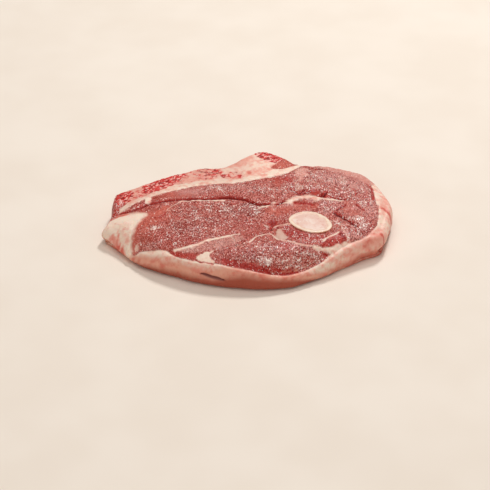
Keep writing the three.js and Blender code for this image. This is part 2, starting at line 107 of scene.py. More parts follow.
# What lies on the cut face, each row over those before it. A zone is a loop in plan, softened
# by so many mm; inside it the surface is lifted and the named shares take the given values.
ZONES = [
    # Lobe of fat at the left
    row([(-88, -12), (-77, -5), (-62, -5), (-58, -7.5), (-62, -13), (-66, -20), (-67.5, -27),
      (-67.5, -34), (-72, -37), (-86, -22)], 1.6, 0, glint=0, pink=-0.1),
    row([(-83.4, -17), (-79.5, -17), (-75.8, -19.4), (-75, -23.6), (-79, -25), (-85, -20)], 2.2, -0.3,
      pink=0.6),
    # Deeper pink on the lobe's lower slope by the knot: its own pink, partly painted shade
    row([(-78, -23), (-74.6, -24), (-71.6, -28), (-70, -33), (-73, -36), (-79.6, -28)], 1.8, -0.5,
      pink=1.1),
    row([(-85, -18), (-82, -18.2), (-79.4, -21.4), (-80.6, -23.6), (-85, -21)], 0.5, 0.3, pink=0.1),
    row([(-75.4, -14), (-70, -13), (-68.4, -20), (-69.4, -27), (-69.2, -33.4), (-71, -34.6), (-72.2, -28),
      (-74.2, -21)], 1, 0.5, pink=0),
    row([(-70.6, -31.4), (-68.8, -31.6), (-68.6, -36), (-70.6, -36)], 0.6, 0.8, pink=-0.4),
    row([(-66.8, -18), (-63, -11.6), (-60.4, -12.6), (-63, -19), (-64.6, -26), (-64.8, -32), (-68, -33),
      (-68.4, -25)], 1.6, 0, salmon=0.7, glint=0.1),
    row([(-60, -9), (-54, -4), (-48, 2), (-46, -1), (-53, -9)], 1.6, 0, salmon=0.8, glint=0.15),
    # Red meat, ribs and gristle along the back
    row([(-81.5, 13), (-74, 8.8), (-73, 5), (-76.4, 1.4), (-77, -3.8), (-86, -6), (-86, 8)], 0.6, -0.3,
      fat=0, blood=0.42, salmon=0.3, glint=0.8),
    row([(-75, 6.6), (-70.5, 7.4), (-66, 9), (-60.6, 12), (-59, 15), (-63, 16.4), (-70, 14), (-74, 11)],
      0.9, -0.2, pink=0.6, rib=0.52),
    row([(-69, 19), (-65, 22), (-63, 19), (-66, 15), (-69, 16)], 0.9, 0, pink=0.55),
    row([(-84, 14.9), (-77.4, 17), (-70.1, 18.4), (-69.1, 14), (-73.1, 9.7), (-76.8, 6.6), (-79.8, 12)],
      0.9, 0, rib=1),
    row([(-63.4, 26), (-58, 31), (-49.6, 35.4), (-41.1, 37.6), (-38.3, 37.2), (-41, 32.8), (-43.6, 27.2),
      (-50.4, 20), (-55.8, 16.5), (-61.4, 14.6), (-63, 17)], 1, 0, rib=1),
    row([(-35.4, 41), (-33.4, 45), (-18, 46.6), (-15.3, 40.3), (-16.7, 36.1), (-20.2, 33.4),
      (-25.9, 31.4), (-33.4, 32), (-34.8, 36)], 1, 0, rib=0.5, pink=0.4),
    row([(-40.5, 33), (-38, 33), (-37.4, 37), (-40, 37)], 0.6, 0, pink=0.8),
    row([(-15.4, 36), (-12, 40), (-7, 41), (-3.4, 39), (-1.8, 36), (-3.6, 32), (-9, 31.6), (-14, 32)],
      1.2, -0.25, rib=0.52, pink=0.3, glint=0.4),
    row([(-16.5, 36), (-14.6, 37.6), (-13, 35), (-14.8, 32.6)], 0.5, -0.3, fat=0.1, blood=0.5),
    row([(-11, 52), (-6, 52), (-5.5, 48.6), (-10, 48)], 0.7, 0, pink=1, fat=0.8),
    row([(-0.9, 39.8), (2.2, 40.2), (1.7, 37.4), (-0.4, 37.4)], 0.9, 0, pink=0.8),
    row([(-18, 50), (-10, 57), (0, 63), (4, 58), (-2, 48), (-8, 45.5), (-16, 46.5)], 1.5, 0, pink=0.42),
    row([(14.2, 44), (18, 49.5), (22, 56), (26, 57), (32, 49.8), (28.4, 46), (22, 43), (17, 42.8)], 0.6,
      0.15, fat=0.1, salmon=0.75, blood=0.12, glint=0.25),
    row([(4.4, 63), (5.2, 59.6), (7, 56.8), (10, 54.4), (13, 52.2), (16.5, 50.6), (20.4, 52.4),
      (22.4, 57), (20, 70), (4, 70)], 0.8, 0, rib=1),
    # Pale patches and dark gaps of the upper right
    row([(12.7, 32), (18.8, 33.4), (22.2, 31.6), (21, 24), (18.5, 20.2), (15.4, 26)], 2.4, -0.1,
      salmon=0.15, glint=0.2, blood=0.1),
    row([(22.2, 32.7), (24.7, 34.5), (26.8, 30.7), (26.5, 27.9), (23.6, 28.9)], 0.9, -0.2, blood=0.4,
      glint=0.4),
    row([(29, 36), (31, 42.5), (36, 45), (38.6, 42), (36.6, 38.4), (38, 34.4), (34.4, 33.4), (33.8, 29.4),
      (31, 28.4), (31.4, 33)], 0.7, 0.2, fat=0.5, pink=0.4, tone=0.6, glint=0.7),
    row([(28.4, 24), (31.4, 25), (34, 23), (34.2, 20.4), (30.6, 18.6), (28.2, 20.8)], 0.8, 0.2, fat=0.35,
      grey=0.5, glint=0.8),
    row([(33.2, 48.6), (35.2, 48.4), (35, 46.6), (33.2, 46.6)], 0.5, 0, blood=0.5, fat=0),
    row([(38, 19.2), (43, 19), (42.6, 13.4), (38.2, 13.4)], 1, -0.4, blood=0.3, glint=0),
    row([(35, 53), (49, 54), (62, 50), (74, 45), (81, 37), (76, 27), (70.6, 28.6), (66, 33), (59.9, 36.4),
      (54, 39.8), (48, 43), (42.5, 45.6), (38, 47.6)], 1.8, 0, fat=0.42, pink=0.45, grey=0.15, glint=0.25,
      tone=0.6),
    row([(55.7, 34.2), (60.7, 34.5), (60.7, 25), (57, 23.6)], 1.2, 0.1, fat=0.3, grey=0.5, glint=1),
    row([(49.4, 30), (52, 31.4), (54.2, 27.6), (52.4, 23)], 1, 0, fat=0.25, glint=0.9),
    row([(58.2, 23.4), (61.7, 21.2), (65.4, 11.4), (61.7, 10.2), (58.4, 16.6)], 1.4, 0, glint=1),
    row([(62.6, 26), (66.8, 25.2), (67, 18.2), (63.3, 18)], 0.9, 0.1, grey=0.5, fat=0.22, glint=0.1),
    row([(65.2, 8.1), (75, 9.2), (74.6, 2.6), (66, 1.9)], 1.2, 0, glint=1),
    row([(57.1, 4.8), (64.4, 6), (70.4, -3.2), (69.8, -10.5), (61.7, -8.8), (56.7, -3.7)], 1.4, 0,
      salmon=0.4, glint=0.25, grey=0.15),
    row([(72.5, 1.1), (77.6, 3), (77.6, -4.6), (76, -12.8), (72.5, -15.7), (71.9, -7.2)], 1.2, 0,
      grey=0.4, fat=0.12, salmon=0.3, glint=0.5),
    row([(44, -44.6), (47.7, -40.4), (50.2, -37), (55.9, -33.6), (60, -32.4), (60, -36), (52, -43)], 0.9,
      0.25, fat=1, glint=0, pink=0.2),
    # Round the arm bone
    row([(11, -2), (22, 2.4), (27, -3), (22, -9), (13, -9.5)], 1.8, 0.2, salmon=0.5, glint=0.3),
    row([(43.4, 3.6), (50, 4.8), (57, 2.8), (55.6, -0.6), (52.6, -2.8), (50.6, -7), (47.5, -9),
      (44.5, -6)], 0.7, -0.1, grey=1, blood=0.14, glint=0.9),
    row([(26, 5.6), (38, 4.4), (43, 1), (36, -4.6), (27, -1)], 1.3, -0.2, salmon=0.5, blood=0.05,
      glint=0.3),
    row([(43.5, -8), (50, -10), (53, -14), (50, -19), (46, -13)], 1.4, 0, salmon=0.4, grey=0.35),
    row([(12, -16), (16.5, -15.6), (16, -20), (13.6, -22.4)], 0.9, -0.6, blood=0.7, glint=0),
    row([(21, -22.4), (24.6, -20.4), (28.6, -24.4), (32, -27.4), (41.6, -30), (46, -29.5), (45, -32),
      (37, -34.4), (32.8, -36.4), (28.6, -36), (23.2, -32)], 0.9, -0.5, blood=0.62, glint=0.7),
    row([(29.5, -34.5), (37, -33.2), (43.4, -33.8), (42.4, -38), (35.6, -39.2), (29, -37.6)], 0.8, 0.1,
      grey=0.4, fat=0.08, glint=0.8, blood=0.3),
    row([(16.6, -26.4), (19, -24.2), (21, -28.6), (22.8, -34), (20.8, -36.6), (17.6, -35), (16, -31)],
      0.7, 0.5, fat=0.8, pink=0.1, glint=0.3, tone=-0.8),
    row([(43, -38), (43, -35.8), (46, -32.6), (50, -30), (53.4, -27), (55.2, -30), (57, -31.8), (52, -36),
      (47, -38.2)], 0.5, 0.1, blood=0.34, salmon=0.1, glint=0.3),
    row([(53, -26.6), (55, -26.4), (57.4, -31.6), (55, -31.4)], 0.5, -0.25, blood=0.7, glint=0),
    row([(59.2, -11), (66.4, -9.7), (70.2, -15.4), (69.1, -22.3), (63.2, -22.3), (60.1, -16.2)], 1.2, 0.1,
      grey=0.3, glint=1.15),
    row([(54.1, -17.5), (61, -20.3), (65.3, -27.2), (59.3, -30), (55.4, -26.5)], 1.2, 0, salmon=0.3,
      grey=0.2, glint=1),
    # Lower muscle
    row([(-40, -42.6), (-28, -40), (-16, -34.4), (-4, -31), (-2, -35), (-12, -41.6), (-24, -44.8),
      (-36, -45)], 1.2, 0.15, fat=0.26, grey=0.4, glint=0.3, tone=0.35),
    row([(-44.6, -42.4), (-36, -44.6), (-29, -46.6), (-30.6, -49.2), (-36, -48), (-43, -45)], 0.5, -0.2,
      blood=0.3, salmon=0.2, glint=0.2),
    row([(-30, -48.6), (-28, -47.4), (-22, -46), (-19.6, -45), (-22, -47.8), (-21, -50.6), (-19, -52.6),
      (-20.5, -53.6), (-28, -50.6)], 0.5, 0.3, fat=1, glint=0),
    # Dark red front edge of the lower muscle: its own blood red, partly painted shade of its downward
    # slope
    row([(-14.6, -51), (-8, -52), (4, -54.4), (15, -54.6), (26, -52.4), (30, -53), (24, -56), (10, -60),
      (-6, -58), (-14, -53.5)], 1.4, -0.3, blood=0.62, glint=0.35),
    row([(20, -37.6), (25, -39), (26, -43), (23, -46), (19, -43.6)], 1.2, -0.2, blood=0.3, grey=0.4),
    row([(27, -42), (36, -43), (40, -45), (35, -48.6), (28, -50), (24, -46)], 1.4, 0.15, grey=0.5,
      glint=0.9),
    row([(38.4, -41.4), (45.6, -41), (45.8, -43), (41.6, -43)], 0.6, -0.3, blood=0.5),
    row([(5.5, -51), (10, -50.4), (15.5, -51.6), (11, -53.6), (6.5, -53.4)], 1.2, 0.4, glint=1.5,
      grey=0.4),
    row([(14, -49.6), (20, -49.8), (29.8, -46.6), (35.6, -44.4), (40.3, -41.8), (42.6, -42.7),
      (38, -46.9), (32.1, -50), (25, -52.4), (16, -53)], 1, 0, blood=0, grey=0.15, salmon=0.35,
      glint=0.9),
    # Dark, coarse end of the middle muscle
    row([(-3, 3), (4, 3), (8, -1), (6.4, -8), (1, -11), (-4, -7)], 1.6, -0.2, grey=0.3, glint=0.9,
      tone=-0.9),
    row([(-61, 9.6), (-58.4, 10), (-57.6, 6), (-58.6, 2), (-61, 3.6)], 0.5, 0.4, fat=1, glint=0),
    row([(-69, -2), (-62, 1), (-60, 3.6), (-66, 2.4)], 1, -0.1, blood=0.4, glint=1.1),
]

# Lines on the cut face, over the zones: path, half width, lift, shares
LINES = [
    row([(-42, -41.9), (-35.7, -41.3), (-30, -39.6), (-26.6, -37.8), (-22, -35)], 1, 0.1, fat=0.9),
    row([(-23, -35.6), (-15.7, -33.1), (-10.6, -31.4)], 0.85, 0.1, fat=1),
    row([(-9.4, -31), (-7.2, -30.2), (-4.4, -29.8)], 0.5, 0, fat=0.75),
    row([(-9.4, -32.1), (-7.4, -36)], 0.4, 0, fat=0.55),
    row([(-22, -45), (-14, -43.6), (-7, -41.6), (-0.5, -39)], 0.4, -0.15, fat=0.4),
    row([(1, -38.4), (2.4, -36.4), (4.8, -32.8), (8.6, -31.2), (13, -30.1), (16.4, -34), (18, -36.6)],
      0.5, -0.15, fat=0.8),
    row([(17.5, -36), (25.4, -38.4), (30, -39.8), (36, -40.2), (40, -40)], 0.7, 0.1, fat=0.7, pink=0.2),
    row([(39, -40.2), (44, -39.8), (53, -37)], 1.1, 0.15, fat=1, pink=0.05),
    row([(43.6, -34.4), (48.2, -30.6), (53.2, -26.8)], 0.6, 0.1, fat=0.9),
    row([(49.4, -15.6), (52.4, -17), (54.8, -20.8), (56.8, -26.4), (59, -31.8)], 0.6, 0.15, fat=0.55,
      pink=0.15, glint=0.9),
    row([(26, 5.6), (29.8, 8.6), (33.4, 9.6), (38, 9.2), (42, 8.2)], 2.3, 0.8, fat=1, pink=0.1),
    row([(41, 8.6), (45.4, 8.2), (51, 7.2), (57, 5.6)], 1, 0.3, fat=0.95, pink=0.1),
    row([(6.4, -1.6), (9.7, -0.2), (12.4, 0.4), (14, 2.4), (16.4, 4)], 0.8, 0.25, fat=0.85),
    row([(14, 2), (14.6, -1.4), (16.4, -4)], 0.7, 0.1, fat=0.35),
    row([(20.4, 3.6), (24.4, 4.4)], 0.8, 0.2, fat=0.85),
    row([(13.4, -24.2), (17, -21.4), (20.6, -20.2), (25, -18.8)], 0.6, 0.2, fat=0.75),
    row([(10, -21), (11.8, -22.4), (12.4, -24.4)], 0.6, 0.1, fat=0.55, glint=1.5),
    row([(5.6, -3.6), (4, -9.4), (5, -15)], 0.6, 0, fat=0.3, grey=0.3),
    row([(-48.5, -4.8), (-45.2, 0.6), (-41.6, 4), (-38.6, 6.2)], 0.5, 0, fat=0.5),
    row([(-48, -4.6), (-43, -3.4), (-39.5, -4.4)], 0.4, 0, fat=0.35),
    row([(-41, 5.4), (-31.3, 5.9), (-22.3, 6.1), (-14, 5.9)], 0.48, 0.15, fat=0.95, blood=0),
    row([(50.6, 22), (54, 18), (57, 15), (62, 14)], 0.5, 0.1, fat=0.35),
    row([(72.6, 28.2), (74.8, 23.8), (76, 15.4), (76, 8.3)], 0.7, -0.3, blood=0.5, glint=0.1),
    row([(64.8, 2.9), (67, -0.2), (69.5, -3.8)], 0.5, -0.7, blood=0.85, glint=0),
    row([(36, 30), (41, 27), (44, 24)], 0.6, 0.1, fat=0.45),
    row([(40, 38), (44, 33), (46, 28)], 0.6, 0, fat=0.35),
    row([(31, 30), (29, 26), (31, 22)], 0.6, 0.1, fat=0.45),
    row([(36, 44), (41, 40.4), (47, 41)], 0.6, 0.1, fat=0.4),
    row([(-54, -12.2), (-51.4, -11.2), (-49.4, -9), (-49, -6)], 0.5, -0.3, blood=0.6),
    row([(-44.2, -10.4), (-41, -11.8), (-38, -13)], 0.8, -0.2, blood=0.25, salmon=0.5),
    row([(26, 25.6), (29.4, 24), (28.6, 20)], 0.9, -0.6, blood=0.75),
    row([(26.4, 18.2), (29.3, 16), (31.6, 12.8)], 0.9, -0.8, blood=0.85),
    row([(24, 20.6), (27, 18.8)], 0.7, -0.6, blood=0.8),
    row([(31.8, 15.8), (34.4, 18.4)], 0.9, -1.2, blood=1),
    row([(33.4, 14.2), (37.4, 17)], 1, -0.9, blood=0.9),
    row([(28, 4.6), (33, 4.4), (38.6, 2.8)], 0.9, -0.8, blood=0.6, fat=0, glint=0),
    row([(43.4, 11), (45.6, 11.8), (47.6, 15.8)], 1.3, -1.3, blood=0.95, fat=0, glint=0),
    row([(50, 9.4), (53.8, 8.2), (58, 7.4)], 0.85, -1.1, blood=0.95, fat=0),
    row([(17.6, 2.6), (19.6, 3.8), (21, 6.2)], 0.9, -1.1, blood=0.95, fat=0),
    row([(51.5, -6.4), (55.1, -10.1), (58.4, -14.2), (61.2, -17.2), (63.9, -20.2)], 0.95, -1.3, blood=1,
      glint=0.2),
    row([(53, -4), (55.6, -0.8), (58.4, 1.6)], 0.7, -0.7, blood=0.9),
    row([(60, -20.5), (62.6, -25)], 0.5, -0.6, blood=0.7),
    row([(64, 20), (66, 16), (65, 12)], 0.5, -0.6, blood=0.6),
    row([(70, 12), (73, 8), (72, 3)], 0.5, -0.5, blood=0.55),
    row([(45, 30), (50, 27), (53, 29)], 0.5, -0.5, blood=0.5),
    row([(-30, 40.4), (-24, 39.4), (-17.6, 38.2)], 0.5, -0.5, blood=0.9, rib=0, fat=0),
    row([(-60, 26.4), (-56, 29), (-50, 31.6), (-43, 33.4)], 0.6, -0.4, blood=0.6, rib=0.4, fat=0),
    row([(-57, 22), (-52, 25), (-46, 27)], 0.5, -0.4, blood=0.6, rib=0.4, fat=0),
    row([(-80, 14.6), (-74, 16), (-70, 17)], 0.5, -0.3, blood=0.6, rib=0.4, fat=0),
    row([(-28.5, -51), (-24, -52.2), (-20, -53.6)], 0.5, -0.3, blood=0.5, fat=0.2),
    row([(-86, -9), (-82.4, -5.6), (-77.6, -4.9), (-72, -5.8)], 1.2, 0, fat=0.7, pink=0.95),
    row([(78.2, -23), (79.8, -24.6)], 0.7, -0.3, pink=1.2, fat=0.7),
    row([(81.5, 1), (84.5, -2.5), (86.2, -6)], 1.2, -0.3, pink=1.2, fat=0.75),
]

# Broad, soft fields on the meat: middle, reach, and how much each share rises there
FIELDS = [
    row((-14, -6), (26, 13), glint=0.38), row((-40, -22), (22, 12), glint=0.22),
    row((14, 21), (24, 9), glint=0.45), row((64, -6), (16, 20), glint=0.4),
    row((50, 24), (22, 14), glint=0.35), row((12, -44), (30, 8), glint=0.3),
    row((36, -44), (12, 5), glint=0.3), row((-62, -26), (8, 10), salmon=0.4, tone=0.2),
    row((-50, -10), (12, 9), salmon=0.25), row((-54, -35), (9, 3), tone=0.4),
    row((-38, -23), (12, 7), tone=-0.5), row((-6, 21), (20, 4.5), tone=0.5),
    row((-18, -12), (26, 15), tone=-0.26), row((22, 1), (11, 3), tone=0.4),
    row((50, 33), (18, 8), tone=0.6), row((67, 22), (10, 9), tone=0.5), row((72, 1), (8, 9), tone=0.4),
    row((62, -28), (8, 3), tone=0.6), row((22, -41), (5, 4), tone=-0.45),
    row((-4, -51), (11, 3), tone=-0.6), row((3, -47), (7, 4), tone=-0.35),
    row((42, -31), (6, 3), tone=0.3), row((-57, -16), (11, 12), glint=-0.3, salmon=0.25),
    row((-44, 13), (17, 6), glint=-0.3, salmon=0.3), row((-34, 15), (12, 5), tone=0.6),
    row((-55, -21.6), (3, 2.4), glint=1.1), row((-19.5, 19.5), (5, 3), glint=0.8),
    row((-9, -4), (9, 6), tone=-0.4), row((66, 36), (12, 7), glint=-0.3),
    row((66, 0), (11, 10), tone=0.2), row((-38, -14), (12, 10), tone=-0.15),
    row((36, -42), (8, 4), tone=0.2),
]

# Small pits, small pale spots, and the slit in the side: its run along x, height and half width
HOLES = [((13.7, -24), 1.5), ((45.2, 12.6), 1.0), ((17.6, -23.2), 0.6), ((-55, -11.4), 0.5)]
PALE_SPOTS = [((-56.4, -22.8), 0.7), ((-53.6, -20.8), 0.6), ((-64.6, -31), 1.2), ((-37, -14.6), 0.6)]
SLIT = ((-26.5, -14), 8.2, 1.15)

# --------------------------------------
# Lines and loops in plan


def spline(points, closed=False, step=1.0):
    """Centripetal Catmull-Rom line through the points, at an even step."""
    p = np.array(points, float)
    if closed:
        p = np.vstack([p[-1], p, p[0], p[1]])
    else:
        p = np.vstack([2 * p[0] - p[1], p, 2 * p[-1] - p[-2]])
    t = np.linspace(0, 1, 24, endpoint=False)[:, None]
    found = []
    for a, b, c, d in zip(p, p[1:], p[2:], p[3:]):
        k = [np.linalg.norm(v) ** 0.5 for v in (b - a, c - b, d - c)]
        m1 = ((b - a) / k[0] - (c - a) / (k[0] + k[1]) + (c - b) / k[1]) * k[1]
        m2 = ((c - b) / k[1] - (d - b) / (k[1] + k[2]) + (d - c) / k[2]) * k[1]
        cubic = (2 * b - 2 * c + m1 + m2) * t**3 + (3 * c - 3 * b - 2 * m1 - m2) * t**2
        found.append(cubic + m1 * t + b)
    line = np.vstack(found + [p[-2][None]])
    steps = np.linalg.norm(np.diff(line, axis=0), axis=1)
    along = np.concatenate([[0], np.cumsum(steps)])
    at = np.linspace(0, along[-1], int(along[-1] / step) + 1)
    line = np.stack([np.interp(at, along, line[:, i]) for i in (0, 1)], 1)
    return line[:-1] if closed else line


def oval(middle, half, turn, power, steps=96):
    """A turned ellipse, squarer the higher its power."""
    t = np.linspace(0, 2 * math.pi, steps, endpoint=False)
    c, s = np.cos(t), np.sin(t)
    x = half[0] * np.sign(c) * np.abs(c) ** (2 / power)
    y = half[1] * np.sign(s) * np.abs(s) ** (2 / power)
    a = math.radians(turn)
    loop = np.stack([x * math.cos(a) - y * math.sin(a), x * math.sin(a) + y * math.cos(a)], 1)
    return loop + np.array(middle)


def turned_right(loop):
    """The same loop, run through counter-clockwise."""
    x, y = loop.T
    area = np.dot(x, np.roll(y, -1)) - np.dot(y, np.roll(x, -1))
    return loop if area > 0 else loop[::-1]


def widened(loop, distance):
    """The counter-clockwise loop, moved out by that distance."""
    side = np.roll(loop, -1, 0) - np.roll(loop, 1, 0)
    normal = np.stack([side[:, 1], -side[:, 0]], 1)
    return loop + np.atleast_1d(distance)[:, None] * normal / np.linalg.norm(normal, axis=1)[:, None]


def line_distance(xy, line, closed=False):
    """Distance of each point to the line, on which side it lies, and how far along it is."""
    ends = np.vstack([line, line[:1]]) if closed else line
    best = np.full(len(xy), 1e9)
    side = np.ones(len(xy))
    share = np.zeros(len(xy))
    count = len(ends) - 1
    for i in range(count):
        a, d = ends[i], ends[i + 1] - ends[i]
        rel = xy - a
        t = np.clip(rel @ d / (d @ d), 0, 1)
        gap = np.hypot(rel[:, 0] - t * d[0], rel[:, 1] - t * d[1])
        closer = gap < best
        best[closer] = gap[closer]
        side[closer] = np.sign(d[0] * rel[closer, 1] - d[1] * rel[closer, 0])
        share[closer] = (i + t[closer]) / count
    return best, side, share


def outside(xy, loop):
    """Distance to the loop, positive outside it and negative inside."""
    gap = line_distance(xy, loop, True)[0]
    x, y = xy.T
    odd = np.zeros(len(xy), bool)
    for (ax, ay), (bx, by) in zip(loop, np.roll(loop, -1, 0)):
        if ay != by:
            odd ^= ((ay > y) != (by > y)) & (x < (bx - ax) * (y - ay) / (by - ay) + ax)
    return np.where(odd, -gap, gap)


def smooth(low, high, value):
    """Rises smoothly from 0 at low to 1 at high."""
    t = np.clip((value - low) / (high - low), 0, 1)
    return t * t * (3 - 2 * t)


def bell(offset, reach):
    return np.exp(-((offset / reach) ** 2))


def angle_between(degrees, other):
    return (degrees - other + 180) % 360 - 180


# --------------------------------------
# The slice's outline and the loops that part its tissues

outline = turned_right(spline(OUTLINE, True, 1.2))
fascia = spline(FASCIA, step=1.6)
fat_edge = spline(FAT_EDGE, step=1.6)
lean_loop = turned_right(np.vstack([fascia, fat_edge]))
band_loop = turned_right(np.vstack([fascia, [(-20, 90), (-98, 60)]]))
bone_loop = turned_right(spline(BONE, True, 0.8))
core_loop = widened(bone_loop, -BONE_WALL)
rib_loops = [oval(*rib) for rib in RIBS]

from_centre = outline - CENTRE
headings = np.degrees(np.arctan2(from_centre[:, 1], from_centre[:, 0]))
by_heading = np.argsort(headings)
rim_headings = headings[by_heading]
rim_radii = np.hypot(*from_centre.T)[by_heading]

# --------------------------------------
# Noise

rng = np.random.default_rng(20)
WAYS = rng.normal(size=(256, 3)).astype(np.float32)
WAYS /= np.linalg.norm(WAYS, axis=1)[:, None]
SHUFFLE = rng.permutation(256)


def noise(points, size, seed):
    """Smooth gradient noise from about -1 to 1, with features of that size."""
    p = points / np.array(size, float) + 31.7 * seed
    cell = np.floor(p)
    f = (p - cell).astype(np.float32)
    x, y, z = cell.astype(np.int64).T & 255
    fade = f * f * f * (f * (f * 6 - 15) + 10)
    total = np.zeros(len(p), np.float32)
    for i, j, k in np.ndindex(2, 2, 2):
        way = WAYS[SHUFFLE[(SHUFFLE[(SHUFFLE[(x + i) & 255] + y + j) & 255] + z + k) & 255]]
        weight = np.abs((1 - i - fade[:, 0]) * (1 - j - fade[:, 1]) * (1 - k - fade[:, 2]))
        reach = way[:, 0] * (f[:, 0] - i) + way[:, 1] * (f[:, 1] - j) + way[:, 2] * (f[:, 2] - k)
        total += weight * reach
    return total * 2


def rough(points, size, layers, seed, squash=(1, 1, 1)):
    """Layered noise, from about -1 to 1, each layer half the size and strength of the last."""
    points = points * np.array(squash)
    total = sum(noise(points, size / 2**i, seed + i) / 2**i for i in range(layers))
    return total / sum(0.5**i for i in range(layers)) * 1.3


# --------------------------------------
# The plain slice, as the solids have it


def surface_height(xy, least_rim=0.0):
    """Height of the plain slice's upper face, with points near the rim taken as that far from it."""
    rel = xy - CENTRE
    heading = np.degrees(np.arctan2(rel[:, 1], rel[:, 0]))
    rim = np.interp(heading, rim_headings, rim_radii, period=360) - np.hypot(*rel.T)
    rim = np.maximum(rim, least_rim)

    def near(reach):
        return np.clip(1 - rim / reach, 0, None) ** 2

    height = THICKNESS - EDGE_DROP * near(EDGE_DROP_REACH)
    for at, reach, rise in SWELLS:
        height += rise * bell(xy[:, 0] - at[0], reach[0]) * bell(xy[:, 1] - at[1], reach[1])
    for towards, spread, drop, reach in DROOPS:
        height -= drop * bell(angle_between(heading, towards), spread) * near(reach)
    return height


def at_height(loop, height):
    """The loop in space, at one height or at one for each point."""
    return np.column_stack([loop, np.broadcast_to(height, len(loop))])


def slice_rings():
    """Rings from the middle of the underside, out round the edge, to the middle of the cut face."""
    bottom = widened(outline, -LOWER_EDGE)
    top = widened(outline, -UPPER_EDGE)
    edge = surface_height(top)
    middle = WIDEST_AT * edge
    lobe = bell(angle_between(headings, LOBE_TOWARDS), LOBE_SPREAD)
    power = SIDE_POWER + (LOBE_POWER - SIDE_POWER) * lobe
    rings = [at_height(bottom + (CENTRE - bottom) * share, 0) for share in (0.98, 0.7, 0.35)]
    rings.append(at_height(bottom, 0))
    for degrees in (78, 66, 54, 42, 30, 18, 8):
        a = math.radians(degrees)
        loop = widened(outline, -LOWER_EDGE * (1 - math.cos(a) ** power))
        rings.append(at_height(loop, middle * (1 - math.sin(a) ** power)))
    for degrees in (0, 8, 18, 30, 42, 54, 66, 78):
        a = math.radians(degrees)
        loop = widened(outline, -UPPER_EDGE * (1 - math.cos(a) ** power))
        rings.append(at_height(loop, middle + (edge - middle) * math.sin(a) ** power))
    for share in (0, 0.02, 0.045, 0.075, 0.11, 0.15, 0.2, 0.27, 0.36, 0.47, 0.6, 0.75, 0.9, 0.98):
        loop = top + (CENTRE - top) * share
        rings.append(at_height(loop, surface_height(loop)))
    return rings


def linked(name, data):
    obj = bpy.data.objects.new(name, data)
    scene.collection.objects.link(obj)
    return obj


def new_object(name, vertices, faces):
    mesh = bpy.data.meshes.new(name)
    mesh.from_pydata([tuple(v) for v in vertices], [], faces)
    mesh.validate()
    return linked(name, mesh)


def lofted(name, rings):
    """A closed object through rings with as many points each."""
    count = len(rings[0])
    faces = [tuple(range(count))[::-1]]
    for ring in range(len(rings) - 1):
        lower, upper = ring * count, (ring + 1) * count
        for i in range(count):
            j = (i + 1) % count
            faces.append((lower + i, lower + j, upper + j, upper + i))
    last = (len(rings) - 1) * count
    faces.append(tuple(range(last, last + count)))
    return new_object(name, np.vstack(rings), faces)


def applied(obj):
    """Bakes the object's modifiers into its mesh."""
    depsgraph = bpy.context.evaluated_depsgraph_get()
    mesh = bpy.data.meshes.new_from_object(obj.evaluated_get(depsgraph))
    old = obj.data
    obj.modifiers.clear()
    obj.data = mesh
    bpy.data.meshes.remove(old)


def vectors(rows, key):
    values = np.zeros(len(rows) * 3, np.float32)
    rows.foreach_get(key, values)
    return values.reshape(-1, 3).astype(float)


def positions(mesh):
    return vectors(mesh.vertices, "co")


def normals(mesh):
    return vectors(mesh.vertex_normals, "vector")


# --------------------------------------
# What lies where: shares of fat, blood and the rest, and the relief


def within(xy, path, margin):
    """Which points lie in the box round a path or loop, with a margin."""
    low, high = np.min(path, axis=0) - margin, np.max(path, axis=0) + margin
    return np.flatnonzero(((xy > low) & (xy < high)).all(axis=1))


